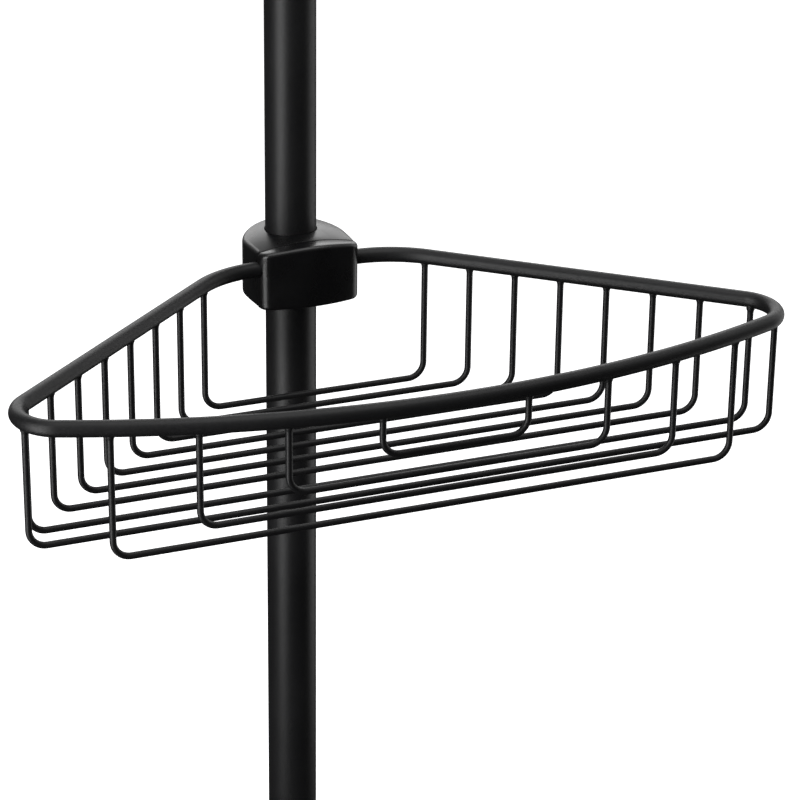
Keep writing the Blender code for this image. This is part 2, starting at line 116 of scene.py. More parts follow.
def makePowderCoat():
    # Epoxy-polyester powder baked on steel: satin black, and a faint orange peel spreads its highlights
    material, tree, shader, place = newMaterial("satinBlackPowderCoat")
    peel = addNode(
        tree,
        "ShaderNodeTexNoise",
        {"Scale": 1 / powderCoat["peelSize"], "Detail": 2.0, "Roughness": 0.5},
        {"Vector": place},
    )
    grain = addNode(
        tree,
        "ShaderNodeTexNoise",
        {"Scale": 1 / powderCoat["grainSize"], "Detail": 1.0},
        {"Vector": place},
    )
    cloud = addNode(
        tree,
        "ShaderNodeTexNoise",
        {"Scale": 1 / powderCoat["cloudSize"], "Detail": 3.0},
        {"Vector": place},
    )
    shades = (hexColour(powderCoat["colour"]), hexColour(powderCoat["colourWorn"]))
    tree.links.new(addRamp(tree, cloud.outputs["Fac"], 0.35, 0.7, shades), shader.inputs["Base Color"])
    low, high = powderCoat["roughness"]
    spread = addNode(
        tree,
        "ShaderNodeMapRange",
        {**noiseSpan, "To Min": low, "To Max": high},
        {"Value": peel.outputs["Fac"]},
    )
    tree.links.new(spread.outputs["Result"], shader.inputs["Roughness"])
    both = addNode(
        tree,
        "ShaderNodeMath",
        {"operation": "MULTIPLY_ADD", 1: powderCoat["grainShare"]},
        {0: grain.outputs["Fac"], 2: peel.outputs["Fac"]},
    )
    bump = addNode(
        tree,
        "ShaderNodeBump",
        {"Strength": powderCoat["bumpStrength"], "Distance": powderCoat["bump"]},
        {"Height": both.outputs["Value"]},
    )
    tree.links.new(bump.outputs["Normal"], shader.inputs["Normal"])
    shader.inputs["IOR"].default_value = powderCoat["ior"]
    shader.inputs["Specular IOR Level"].default_value = powderCoat["specular"]
    return material


mouldedAbs = {
    "colour": "#0a0a0b",
    "colourPale": "#0d0d0e",
    "flowSize": 18 * mm,
    "roughness": (0.25, 0.33),
    "sparkSize": 0.5 * mm,  # spark-eroded mould texture
    "bump": 0.02 * mm,
    "bumpStrength": 0.25,
    "ior": 1.53,
}


def makeMouldedPlastic(name, look):
    # Injection-moulded plastic: the mould's fine spark texture in the gloss, and slow changes of shade
    material, tree, shader, place = newMaterial(name)
    spark = addNode(
        tree,
        "ShaderNodeTexNoise",
        {"Scale": 1 / look["sparkSize"], "Detail": 2.0, "Roughness": 0.6},
        {"Vector": place},
    )
    flow = addNode(
        tree,
        "ShaderNodeTexNoise",
        {"Scale": 1 / look["flowSize"], "Detail": 2.0},
        {"Vector": place},
    )
    shades = (hexColour(look["colour"]), hexColour(look["colourPale"]))
    tree.links.new(addRamp(tree, flow.outputs["Fac"], 0.35, 0.7, shades), shader.inputs["Base Color"])
    low, high = look["roughness"]
    gloss = addNode(
        tree,
        "ShaderNodeMapRange",
        {**noiseSpan, "To Min": low, "To Max": high},
        {"Value": flow.outputs["Fac"]},
    )
    tree.links.new(gloss.outputs["Result"], shader.inputs["Roughness"])
    bump = addNode(
        tree,
        "ShaderNodeBump",
        {"Strength": look["bumpStrength"], "Distance": look["bump"]},
        {"Height": spark.outputs["Fac"]},
    )
    tree.links.new(bump.outputs["Normal"], shader.inputs["Normal"])
    shader.inputs["IOR"].default_value = look["ior"]
    return material


greyAcetal = {
    "colour": "#3a3a3c",
    "colourPale": "#464648",
    "flowSize": 18 * mm,
    "roughness": (0.45, 0.58),
    "sparkSize": 0.7 * mm,
    "bump": 0.03 * mm,
    "bumpStrength": 0.25,
    "ior": 1.48,
}

footRubber = {
    "colour": "#141414",
    "dust": "#2b2a28",
    "dustSize": 3 * mm,
    "roughness": 0.78,
    "grainSize": 0.6 * mm,
    "bump": 0.08 * mm,
    "bumpStrength": 0.4,
}


def makeRubber():
    # Moulded rubber: matt, with pale dust held in its grain
    material, tree, shader, place = newMaterial("mattBlackRubber")
    dust = addNode(
        tree,
        "ShaderNodeTexNoise",
        {"Scale": 1 / footRubber["dustSize"], "Detail": 5.0, "Roughness": 0.65},
        {"Vector": place},
    )
    grain = addNode(tree, "ShaderNodeTexNoise", {"Scale": 1 / footRubber["grainSize"]}, {"Vector": place})
    shades = (hexColour(footRubber["colour"]), hexColour(footRubber["dust"]))
    tree.links.new(addRamp(tree, dust.outputs["Fac"], 0.45, 0.8, shades), shader.inputs["Base Color"])
    bump = addNode(
        tree,
        "ShaderNodeBump",
        {"Strength": footRubber["bumpStrength"], "Distance": footRubber["bump"]},
        {"Height": grain.outputs["Fac"]},
    )
    tree.links.new(bump.outputs["Normal"], shader.inputs["Normal"])
    shader.inputs["Roughness"].default_value = footRubber["roughness"]
    return material


zincPlate = {
    "colour": "#b9bcc2",
    "colourDull": "#8f9399",
    "crystalSize": 2.2 * mm,
    "roughness": (0.24, 0.42),
}


def makeZincSteel():
    # Zinc-plated steel: bright bluish metal with faint patches of crystals that differ in gloss
    material, tree, shader, place = newMaterial("zincPlatedSteel")
    crystals = addNode(
        tree,
        "ShaderNodeTexVoronoi",
        {"Scale": 1 / zincPlate["crystalSize"]},
        {"Vector": place},
    )
    patch = addNode(
        tree,
        "ShaderNodeSeparateColor",
        links={"Color": crystals.outputs["Color"]},
    ).outputs["Red"]
    shades = (hexColour(zincPlate["colourDull"]), hexColour(zincPlate["colour"]))
    tree.links.new(addRamp(tree, patch, 0.0, 1.0, shades), shader.inputs["Base Color"])
    low, high = zincPlate["roughness"]
    gloss = addNode(tree, "ShaderNodeMapRange", {"To Min": low, "To Max": high}, {"Value": patch})
    tree.links.new(gloss.outputs["Result"], shader.inputs["Roughness"])
    shader.inputs["Metallic"].default_value = 1.0
    return material


finishes = {
    "powder_coat": makePowderCoat(),
    "satin_plastic": makeMouldedPlastic("blackMouldedAbs", mouldedAbs),
    "grey_plastic": makeMouldedPlastic("greyMouldedAcetal", greyAcetal),
    "rubber": makeRubber(),
    "zinc_steel": makeZincSteel(),
}
print("materials made:", len(finishes))


sharpAngle = 32  # degrees between faces, past which an edge shows


def addPiece(name, mesh, slot, body, nodes):
    # every piece takes a finish, rides on a body and stands for its CAD nodes
    piece = bpy.data.objects.new(name, mesh)
    bpy.context.scene.collection.objects.link(piece)
    mesh.materials.clear()
    mesh.materials.append(finishes[slot])
    mesh.shade_smooth()
    mesh.set_sharp_from_angle(angle=math.radians(sharpAngle))
    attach(piece, body)
    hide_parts(*nodes)
    return piece


def toMesh(name, bm):
    mesh = bpy.data.meshes.new(name)
    bm.to_mesh(mesh)
    bm.free()
    return mesh


def sharpEdges(bm, angle=sharpAngle):
    limit = math.radians(angle)
    return [edge for edge in bm.edges if len(edge.link_faces) == 2 and edge.calc_face_angle(0) > limit]


def softenEdges(bm, edges, width, steps=3):
    bmesh.ops.bevel(
        bm,
        geom=edges,
        offset=width,
        offset_type="OFFSET",
        segments=steps,
        profile=0.5,
        affect="EDGES",
        clamp_overlap=True,
        material=-1,
    )


def turnedMesh(name, profile, steps=roundSteps, soft=0.0):
    # a closed profile of (radius, height), spun about the pole's axis
    bm = bmesh.new()
    points = [bm.verts.new((radius, 0, height)) for radius, height in profile]
    edges = [bm.edges.new(pair) for pair in zip(points, points[1:])]
    if profile[0][0] > 0:
        edges.append(bm.edges.new((points[-1], points[0])))
    bmesh.ops.spin(
        bm,
        geom=points + edges,
        cent=(0, 0, 0),
        axis=(0, 0, 1),
        dvec=(0, 0, 0),
        angle=2 * math.pi,
        steps=steps,
        use_merge=True,
    )
    bmesh.ops.remove_doubles(bm, verts=bm.verts, dist=mergeReach)
    bmesh.ops.recalc_face_normals(bm, faces=bm.faces)
    if soft:
        softenEdges(bm, sharpEdges(bm), soft)
    return toMesh(name, bm)


def sweptMesh(name, points, radii, sides, closed=False):
    # a round bar along points, with its own radius at each of them
    curve = bpy.data.curves.new(name, "CURVE")
    curve.dimensions = "3D"
    curve.bevel_depth = 1.0
    curve.bevel_resolution = (sides - 4) // 2
    curve.use_fill_caps = not closed
    spline = curve.splines.new("POLY")
    spline.points.add(len(points) - 1)
    spline.use_cyclic_u = closed
    for target, point, radius in zip(spline.points, points, radii):
        target.co = (*point, 1)
        target.radius = radius
    guide = bpy.data.objects.new(name, curve)
    bpy.context.scene.collection.objects.link(guide)
    bpy.context.view_layer.update()
    mesh = bpy.data.meshes.new_from_object(guide.evaluated_get(bpy.context.evaluated_depsgraph_get()))
    bpy.data.objects.remove(guide)
    bpy.data.curves.remove(curve)
    bm = bmesh.new()
    bm.from_mesh(mesh)
    bmesh.ops.remove_doubles(bm, verts=bm.verts, dist=mergeReach)
    bmesh.ops.recalc_face_normals(bm, faces=bm.faces)
    bpy.data.meshes.remove(mesh)
    return toMesh(name, bm)


def carve(mesh, tools):
    # takes each closed tool mesh out of the mesh
    block = bpy.data.objects.new("carvedBlock", mesh)
    bpy.context.scene.collection.objects.link(block)
    helpers = [block]
    for index, tool in enumerate(tools):
        helper = bpy.data.objects.new(f"carvingTool{index}", tool)
        bpy.context.scene.collection.objects.link(helper)
        helpers.append(helper)
        boolean = block.modifiers.new(f"carve{index}", "BOOLEAN")
        boolean.operation = "DIFFERENCE"
        boolean.solver = "EXACT"
        boolean.object = helper
    bpy.context.view_layer.update()
    result = bpy.data.meshes.new_from_object(block.evaluated_get(bpy.context.evaluated_depsgraph_get()))
    result.name = mesh.name
    for helper in helpers:
        bpy.data.objects.remove(helper)
    return result


def roundTool(name, radiusLow, radiusHigh, low, high, turn=None, sides=48):
    # a closed cone or cylinder from low to high on Z, then turned and moved
    bm = bmesh.new()
    bmesh.ops.create_cone(
        bm,
        cap_ends=True,
        segments=sides,
        radius1=radiusLow,
        radius2=radiusHigh,
        depth=high - low,
        matrix=(turn or Matrix()) @ Matrix.Translation((0, 0, (low + high) / 2)),
    )
    return toMesh(name, bm)


def arc(centre, radius, start, end, steps):
    # plan points on an arc, both ends included
    angles = [start + (end - start) * step / steps for step in range(steps + 1)]
    return [Vector((centre[0] + radius * math.cos(a), centre[1] + radius * math.sin(a))) for a in angles]


poleTubes = {"endChamfer": 0.35 * mm, "wall": 1.2 * mm}


def makeTubes():
    for node, body in (("lower_tube", "pole"), ("upper_tube", "pole"), ("sliding_tube", "sliding_tube")):
        low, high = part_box(node)
        outer = high.x
        inner = outer - poleTubes["wall"]
        profile = [(outer, high.z), (outer, low.z), (inner, low.z), (inner, high.z)]
        mesh = turnedMesh(node + "_coated", profile, soft=poleTubes["endChamfer"])
        addPiece(node + "_coated", mesh, "powder_coat", body, [node])


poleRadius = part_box("upper_tube")[1].x
makeTubes()
print("tubes made")


feet = {
    "base": 7 * mm,
    "baseEdge": 4.2 * mm,  # the straight part of the base's edge
    "baseSlope": 2.8 * mm,
    "socketWall": 2.5 * mm,
    "socketFlare": (6 * mm, 2 * mm),  # how high it starts, and how wide it gets
    "neckFlare": (4 * mm, 2 * mm),
    "neckStep": 1 * mm,
    "tubeGap": 0.3 * mm,
    "edge": 0.9 * mm,
    "ceilingEdge": 0.54 * mm,
    "padEdge": 0.6 * mm,
    "treadRings": 3,
    "treadDepth": 0.8 * mm,
    "treadWidth": 2.2 * mm,
    "treadSlope": 0.5 * mm,
    "treadMargin": 3 * mm,  # from the pad's edge to the first ring
    "plunger": 8.2 * mm,  # radius of the ceiling foot's stem
    "travel": 20 * mm,  # bare stem above the sliding tube
}


def makeFloorFoot():
    low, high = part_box("floor_foot")
    base = low.z + feet["base"]
    bore = poleRadius + feet["tubeGap"]
    outer = bore + feet["socketWall"]
    flareHeight, flareWidth = feet["socketFlare"]
    profile = [
        (0, base),
        (bore, base),
        (bore, high.z),
        (outer, high.z),
        (outer, base + flareHeight),
        (outer + flareWidth, base + flareWidth),
        (high.x - feet["baseSlope"], base),
        (high.x, low.z + feet["baseEdge"]),
        (high.x, low.z),
        (0, low.z),
    ]
    mesh = turnedMesh("floor_foot_moulded", profile, soft=feet["edge"])
    addPiece("floor_foot_moulded", mesh, "satin_plastic", "pole", ["floor_foot"])


def makeCeilingFoot():
    low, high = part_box("ceiling_foot")
    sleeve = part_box("sliding_tube")[1]
    plunger = feet["plunger"]
    base = high.z - feet["base"]
    neck = sleeve.z + feet["travel"]
    flareHeight, flareWidth = feet["neckFlare"]
    profile = [
        (0, high.z),
        (high.x, high.z),
        (high.x, high.z - feet["baseEdge"]),
        (high.x - feet["baseSlope"], base),
        (sleeve.x + flareWidth, base - flareHeight),
        (sleeve.x, neck + feet["neckStep"]),
        (plunger, neck),
        (plunger, low.z),
        (0, low.z),
    ]
    mesh = turnedMesh("ceiling_foot_moulded", profile, soft=feet["ceilingEdge"])
    addPiece("ceiling_foot_moulded", mesh, "satin_plastic", "ceiling_end", ["ceiling_foot"])


def makePad(node, body, outwards):
    # a rubber disc with tread rings cut into the side that presses on the room
    low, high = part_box(node)
    edge = high.x
    face, back = (low.z, high.z) if outwards < 0 else (high.z, low.z)
    chamfer = feet["padEdge"]
    profile = [(0, back), (edge, back), (edge, face - outwards * chamfer), (edge - chamfer, face)]
    pitch = (edge - 2 * feet["treadMargin"]) / (feet["treadRings"] + 0.5)
    floor = face - outwards * feet["treadDepth"]
    slope = feet["treadSlope"]
    for ring in range(feet["treadRings"]):
        start = edge - feet["treadMargin"] - ring * pitch
        end = start - feet["treadWidth"]
        profile += [(start, face), (start - slope, floor), (end + slope, floor), (end, face)]
    profile.append((0, face))
    mesh = turnedMesh(node + "_tread", profile)
    addPiece(node + "_tread", mesh, "rubber", body, [node])


makeFloorFoot()
makeCeilingFoot()
makePad("floor_pad", "pole", -1)
makePad("ceiling_pad", "ceiling_end", 1)
print("feet made")


lockCollar = {
    "edge": 1.5 * mm,
    "shoulder": 6 * mm,  # how far the lip stands above the upper tube
    "clearance": 0.3 * mm,
    "grooves": 12,
    "facesPerSector": 8,
    "facesPerGroove": 3,
    "grooveDepth": 0.9 * mm,
    "grooveSlope": 0.63 * mm,
    "bandMargin": 4 * mm,
}


def makeLockCollar():
    name = "lock_collar_ribbed"
    low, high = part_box("lock_collar")
    outer = high.x
    wide = poleRadius + lockCollar["clearance"]
    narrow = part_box("sliding_tube")[1].x + lockCollar["clearance"]
    shoulder = high.z - lockCollar["shoulder"] + lockCollar["clearance"]
    margin = lockCollar["bandMargin"]
    profile = [
        (narrow, high.z),
        (outer - lockCollar["edge"], high.z),
        (outer, high.z - lockCollar["edge"]),
        (outer, high.z - margin),
        (outer, low.z + margin),
        (outer, low.z + lockCollar["edge"]),
        (outer - lockCollar["edge"], low.z),
        (wide, low.z),
        (wide, shoulder),
        (narrow, shoulder),
    ]
    steps = lockCollar["grooves"] * lockCollar["facesPerSector"]
    bm = bmesh.new()
    bm.from_mesh(turnedMesh(name, profile, steps))
    middle = (low.z + high.z) / 2
    sector = 2 * math.pi / lockCollar["grooves"]
    grooved = sector * lockCollar["facesPerGroove"] / lockCollar["facesPerSector"]
    groups = [[] for _ in range(lockCollar["grooves"])]
    for face in bm.faces:
        spot = face.calc_center_median()
        onBand = spot.xy.length > wide and abs(spot.z - middle) < margin / 2
        turn = math.atan2(spot.y, spot.x) % (2 * math.pi)
        if onBand and turn % sector < grooved:
            groups[int(turn // sector)].append(face)
    for group in groups:
        bmesh.ops.inset_region(
            bm,
            faces=group,
            thickness=lockCollar["grooveSlope"],
            depth=-lockCollar["grooveDepth"],
            use_boundary=True,
            use_even_offset=True,
        )
    addPiece(name, toMesh(name, bm), "satin_plastic", "lock_collar", ["lock_collar"])


makeLockCollar()
print("lock collar made")


basketRim = {
    "sideAngle": math.radians(47.9),  # each side, from the middle plane
    "sideStart": 19.1 * mm,  # half width where the side's line crosses the pole's plane
    "backBend": 49 * mm,
    "cornerRadius": 18.8 * mm,
    "bowRadius": 460 * mm,
    "bendSteps": 16,
    "cornerSteps": 32,
    "bowSteps": 32,
    "sides": 32,
}


def rimPlan(back, front):
    # right half of the rim's centre line, from the middle of the back to the middle of the front
    angle = basketRim["sideAngle"]
    bend, corner, bow = basketRim["backBend"], basketRim["cornerRadius"], basketRim["bowRadius"]
    along = Vector((math.sin(angle), -math.cos(angle)))
    inward = Vector((-math.cos(angle), -math.sin(angle)))
    outwards = math.atan2(-inward.y, -inward.x)
    bendY = -back - bend
    bendX = basketRim["sideStart"] + (bend - bendY * inward.y) / inward.x
    bowCentre = Vector((0, bow - front))
    base = Vector((basketRim["sideStart"], 0)) + inward * corner
    offset = base - bowCentre
    reach = offset.dot(along)
    rest = offset.length_squared - (bow - corner) ** 2
    cornerCentre = base + along * (math.sqrt(reach * reach - rest) - reach)
    toCorner = cornerCentre - bowCentre
    bowAngle = math.atan2(toCorner.y, toCorner.x)
    plan = [Vector((0, -back))]
    plan += arc((bendX, bendY), bend, math.pi / 2, outwards, basketRim["bendSteps"])
    plan += arc(cornerCentre, corner, outwards, bowAngle, basketRim["cornerSteps"])
    plan += arc(bowCentre, bow, bowAngle, -math.pi / 2, basketRim["bowSteps"])[1:]
    return plan


def makeRim(level):
    node = f"{level}_rim"
    low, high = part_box(node)
    radius = (high.z - low.z) / 2
    height = (high.z + low.z) / 2
    half = rimPlan(radius - high.y, -low.y - radius)
    plan = half + [Vector((-p.x, p.y)) for p in reversed(half[1:-1])]
    points = [(p.x, p.y, height) for p in plan]
    mesh = sweptMesh(node + "_bar", points, [radius] * len(points), basketRim["sides"], closed=True)
    addPiece(node + "_bar", mesh, "powder_coat", f"{level}_basket", [node])
    return height, radius


basketWire = {
    "radius": 1.55 * mm,
    "bend": 8 * mm,
    "bendSteps": 12,
    "sides": 16,
    "weldFlare": 0.5 * mm,  # how much wider the weld is than the wire, where it meets the rim
    "weldLength": 2.2 * mm,
    "weldFall": ((0.3, 0.4), (0.6, 0.12), (1.0, 0.0)),  # down its length, and the share of its flare there
    "weldSink": 2.2 * mm,  # how far the wire runs into the rim
}


def makeWire(level, index, rimHeight, rimRadius):
    node = f"{level}_wire_{index:02d}"
    low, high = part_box(node)
    radius = basketWire["radius"]
    half = high.x - radius
    forward = (low.y + high.y) / 2
    bottom = low.z + radius
    bend = basketWire["bend"]
    face = rimHeight - rimRadius
    top = face + basketWire["weldSink"]
    flare = radius + basketWire["weldFlare"]
    right = [(Vector((half, top)), flare), (Vector((half, face)), flare)]
    for down, share in basketWire["weldFall"]:
        spot = Vector((half, face - basketWire["weldLength"] * down))
        right.append((spot, radius + basketWire["weldFlare"] * share))
    bendArc = arc((half - bend, bottom + bend), bend, 0, -math.pi / 2, basketWire["bendSteps"])
    right += [(point, radius) for point in bendArc]
    left = [(Vector((-point.x, point.y)), size) for point, size in reversed(right)]
    points = [(point.x, forward, point.y) for point, _ in right + left]
    radii = [size for _, size in right + left]
    mesh = sweptMesh(node + "_welded", points, radii, basketWire["sides"])
    addPiece(node + "_welded", mesh, "powder_coat", f"{level}_basket", [node])


def makeBasket(level):
    rimHeight, rimRadius = makeRim(level)
    wires = sorted(name for name in frame["nodes"] if name.startswith(f"{level}_wire_"))
    for index in range(1, len(wires) + 1):
        makeWire(level, index, rimHeight, rimRadius)
    print(level, "basket made:", len(wires), "wires")
    return rimHeight, rimRadius


housing = {
    "edge": 2.0 * mm,
    "edgeSteps": 5,
    "crownRadius": 115 * mm,
    "crownStrips": 36,
    "shellWidest": 6 * mm,  # in front of the pole's axis
    "shellTaper": 65 * mm,
    "taperSteps": 8,
    "backSteps": 32,
    "coverBowRadius": 81.3 * mm,
    "coverBowSteps": 20,
    "coverCorner": 6.0 * mm,
    "coverCornerSteps": 8,
    "seamAngle": 60,  # degrees; the seam's edges and the block's corners are sharper
    "seamLip": 0.45 * mm,
    "seamSetBack": 0.2 * mm,  # each half stands this much further from the seam
    "socketClearance": 0.45 * mm,
    "boreTop": 1.65 * mm,  # wider than the pole, at the top
    "boreBottom": 2.75 * mm,
    "lipReach": 0.45 * mm,  # the lip over the split collar stops this far from the pole
    "lipBelow": 3.0 * mm,  # the lip's underside, below the top
    "toolReach": 60 * mm,  # cutting tools run this far, past every wall
}


def shellPlan(low, high):
    # rounded back, and sides that draw in towards the seam
    widest = -housing["shellWidest"]
    taper = math.asin((widest - low.y) / housing["shellTaper"])
    tapering = [-taper * (1 - step / housing["taperSteps"]) for step in range(housing["taperSteps"])]
    rounding = [math.pi / 2 * step / housing["backSteps"] for step in range(housing["backSteps"] + 1)]
    stretches = ((tapering, housing["shellTaper"]), (rounding, high.y - widest))
    right = [
        Vector((high.x * math.cos(angle), widest + depth * math.sin(angle)))
        for angles, depth in stretches
        for angle in angles
    ]
    right[-1] = Vector((0, high.y))
    return right + [Vector((-p.x, p.y)) for p in reversed(right[:-1])]


def coverPlan(low, high):
    # flat at the seam, and bowed at the front between round corners
    bow, corner = housing["coverBowRadius"], housing["coverCorner"]
    bowY = bow + low.y
    cornerX = high.x - corner
    cornerY = bowY - math.sqrt((bow - corner) ** 2 - cornerX**2)
    meet = math.atan2(cornerY - bowY, cornerX)
    right = [Vector((high.x, high.y))]
    right += arc((cornerX, cornerY), corner, 0, meet, housing["coverCornerSteps"])
    right += arc((0, bowY), bow, meet, -math.pi / 2, housing["coverBowSteps"])[1:]
    right[-1] = Vector((0, low.y))
    return right + [Vector((-p.x, p.y)) for p in reversed(right[:-1])]


def housingBlock(name, plan, low, high, seamY, rimHeight):
    # the plan raised to a block, its edges rounded, and its top arched across its width
    bm = bmesh.new()
    floor = bm.faces.new([bm.verts.new((p.x, p.y, low.z)) for p in plan])
    raised = bmesh.ops.extrude_face_region(bm, geom=[floor], use_keep_orig=True)["geom"]
    verts = [item for item in raised if isinstance(item, bmesh.types.BMVert)]
    bmesh.ops.translate(bm, verts=verts, vec=(0, 0, high.z - low.z))
    bmesh.ops.recalc_face_normals(bm, faces=bm.faces)

    def goesRound(edge):
        level = abs(edge.verts[0].co.z - edge.verts[1].co.z) < tolerance
        onSeam = all(abs(vert.co.y - seamY) < tolerance for vert in edge.verts)
        return level and not onSeam

    around = [edge for edge in bm.edges if goesRound(edge)]
    softenEdges(bm, around, housing["edge"], housing["edgeSteps"])
    softenEdges(bm, sharpEdges(bm, housing["seamAngle"]), housing["seamLip"], 2)
    stripsEachSide = housing["crownStrips"] // 2
    for step in range(1 - stripsEachSide, stripsEachSide):
        upper = [face for face in bm.faces if face.calc_center_median().z > rimHeight]
        bounds = {part for face in upper for part in (*face.verts, *face.edges)}
        bmesh.ops.bisect_plane(
            bm,
            geom=[*upper, *bounds],
            plane_co=(high.x * step / stripsEachSide, 0, 0),
            plane_no=(1, 0, 0),
            dist=1e-7,
        )
    crown = housing["crownRadius"]
    for vert in bm.verts:
        if vert.co.z > rimHeight:
            vert.co.z -= crown - math.sqrt(crown**2 - vert.co.x**2)
    bmesh.ops.remove_doubles(bm, verts=bm.verts, dist=2 * mergeReach)
    return toMesh(name, bm)


screw = {
    "radius": 1.5 * mm,
    "headHeight": 2.0 * mm,
    "headCrown": ((0.55, 0.08 * mm), (0.85, 0.45 * mm), (1.0, 1.1 * mm)),  # share of its radius, drop
    "crossLength": 1.25,  # share of the head's radius
    "crossWidth": 0.8 * mm,
    "crossDepth": 1.1 * mm,
    "point": 1.5 * mm,
    "clearance": 0.3 * mm,
}


def screwSpots(level):
    # side, centre line (x, z), tip, top of the head and head radius of each screw
    spots = []
    for side in ("left", "right"):
        low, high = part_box(f"{level}_screw_{side}")
        middle = (low + high) / 2
        spots.append((side, middle.x, middle.z, low.y, high.y, (high.x - low.x) / 2))
    return spots


def makeHousing(level, rimHeight, rimRadius):
    shellLow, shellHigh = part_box(f"{level}_rear_shell")
    coverLow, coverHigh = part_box(f"{level}_front_cover")
    rimBack = (shellLow.y + coverHigh.y) / 2
    shellLow.y += housing["seamSetBack"]
    coverHigh.y -= housing["seamSetBack"]
    shellName = f"{level}_rear_shell_moulded"
    coverName = f"{level}_front_cover_moulded"
    plan = shellPlan(shellLow, shellHigh)
    shell = housingBlock(shellName, plan, shellLow, shellHigh, shellLow.y, rimHeight)
    plan = coverPlan(coverLow, coverHigh)
    cover = housingBlock(coverName, plan, coverLow, coverHigh, coverHigh.y, rimHeight)
    reach = housing["toolReach"]
    bore = roundTool(
        "bore",
        poleRadius + housing["boreBottom"],
        poleRadius + housing["boreTop"],
        shellLow.z - 1 * mm,
        shellHigh.z - housing["lipBelow"],
        sides=roundSteps,
    )
    lipRadius = poleRadius + housing["lipReach"]
    lipHole = roundTool("lipHole", lipRadius, lipRadius, shellLow.z, shellHigh.z + 1 * mm, sides=roundSteps)
    across = Matrix.Translation((0, rimBack, rimHeight)) @ Matrix.Rotation(math.pi / 2, 4, "Y")
    socketRadius = rimRadius + housing["socketClearance"]

    shellTools = [bore, lipHole, roundTool("rimSocket", socketRadius, socketRadius, -reach, reach, across)]
    coverTools = [roundTool("rimSocket", socketRadius, socketRadius, -reach, reach, across)]
    for _, x, z, tip, head, headRadius in screwSpots(level):
        inwards = Matrix.Translation((x, 0, z)) @ Matrix.Rotation(-math.pi / 2, 4, "X")
        spare = screw["clearance"]
        shaft = screw["radius"] + spare
        well = headRadius + spare
        seat = head - screw["headHeight"]
        shellTools.append(roundTool("shaftHole", shaft, shaft, tip - spare, head, inwards, 24))
        shellTools.append(roundTool("headWell", well, well, seat - spare, reach, inwards, 32))
        coverTools.append(roundTool("shaftHole", shaft, shaft, tip - spare, head, inwards, 24))
    body = f"{level}_basket"
    addPiece(shellName, carve(shell, shellTools), "satin_plastic", body, [f"{level}_rear_shell"])
    addPiece(coverName, carve(cover, coverTools), "satin_plastic", body, [f"{level}_front_cover"])


def makeScrews(level):
    # pan-head screws with a cross recess, driven in from behind
    for side, x, z, tip, head, headRadius in screwSpots(level):
        seat = head - screw["headHeight"]
        profile = [(0, head)]
        profile += [(headRadius * share, head - drop) for share, drop in screw["headCrown"]]
        profile += [
            (headRadius, seat),
            (screw["radius"], seat),
            (screw["radius"], tip + screw["point"]),
            (0, tip),
        ]
        name = f"{level}_screw_{side}_turned"
        blank = turnedMesh(name, profile, 32)
        tools = []
        for turn in (0, math.pi / 2):
            bm = bmesh.new()
            length = headRadius * screw["crossLength"]
            size = Matrix.Diagonal((length, screw["crossWidth"], 2 * screw["crossDepth"], 1))
            spot = Matrix.Translation((0, 0, head)) @ Matrix.Rotation(turn, 4, "Z")
            bmesh.ops.create_cube(bm, size=1, matrix=spot @ size)
            tools.append(toMesh("crossRecess", bm))
        finished = carve(blank, tools)
        finished.transform(Matrix.Translation((x, 0, z)) @ Matrix.Rotation(-math.pi / 2, 4, "X"))
        addPiece(name, finished, "zinc_steel", f"{level}_basket", [f"{level}_screw_{side}"])


splitCollar = {
    "clearance": 0.15 * mm,
    "topWall": 1.2 * mm,
    "bottomWall": 2.3 * mm,
    "split": 0.8 * mm,
    "edge": 0.25 * mm,
    "edgeAngle": 50,  # degrees; sharper edges are rounded
    "underLip": 2.4 * mm,  # its top stops below the housing's lip
}


def makeSplitCollar(level):
    # two wedge-shaped halves between the pole and the housing
    for side, sign in (("left", -1), ("right", 1)):
        low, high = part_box(f"{level}_collar_{side}")
        inner = poleRadius + splitCollar["clearance"]
        top = high.z - splitCollar["underLip"]
        profile = [
            (inner + splitCollar["topWall"], top),
            (inner + splitCollar["bottomWall"], low.z),
            (inner, low.z),
            (inner, top),
        ]
        name = f"{level}_collar_{side}_half"
        bm = bmesh.new()
        bm.from_mesh(turnedMesh(name, profile))
        bmesh.ops.bisect_plane(
            bm,
            geom=[*bm.verts, *bm.edges, *bm.faces],
            plane_co=(sign * splitCollar["split"] / 2, 0, 0),
            plane_no=(-sign, 0, 0),
            clear_outer=True,
        )
        bmesh.ops.holes_fill(bm, edges=[edge for edge in bm.edges if edge.is_boundary])
        softenEdges(bm, sharpEdges(bm, splitCollar["edgeAngle"]), splitCollar["edge"], 2)
        body = f"{level}_clamp_collar"
        addPiece(name, toMesh(name, bm), "grey_plastic", body, [f"{level}_collar_{side}"])


for level in levels:
    rimHeight, rimRadius = makeBasket(level)
    makeHousing(level, rimHeight, rimRadius)
    makeScrews(level)
    makeSplitCollar(level)
shotHeight = rimHeight  # the upper rim's, the last one made
print("clamps made")


slots = {row["node"]: row["material_slot"] for row in frame["record"]["subparts"]}
for node in ("tube_joiner", "plunger_bush", "spring_seat", "ceiling_spring"):
    kept = frame["nodes"][node]
    kept.data.materials.clear()
    kept.data.materials.append(finishes[slots[node]])
print("inner pieces finished")


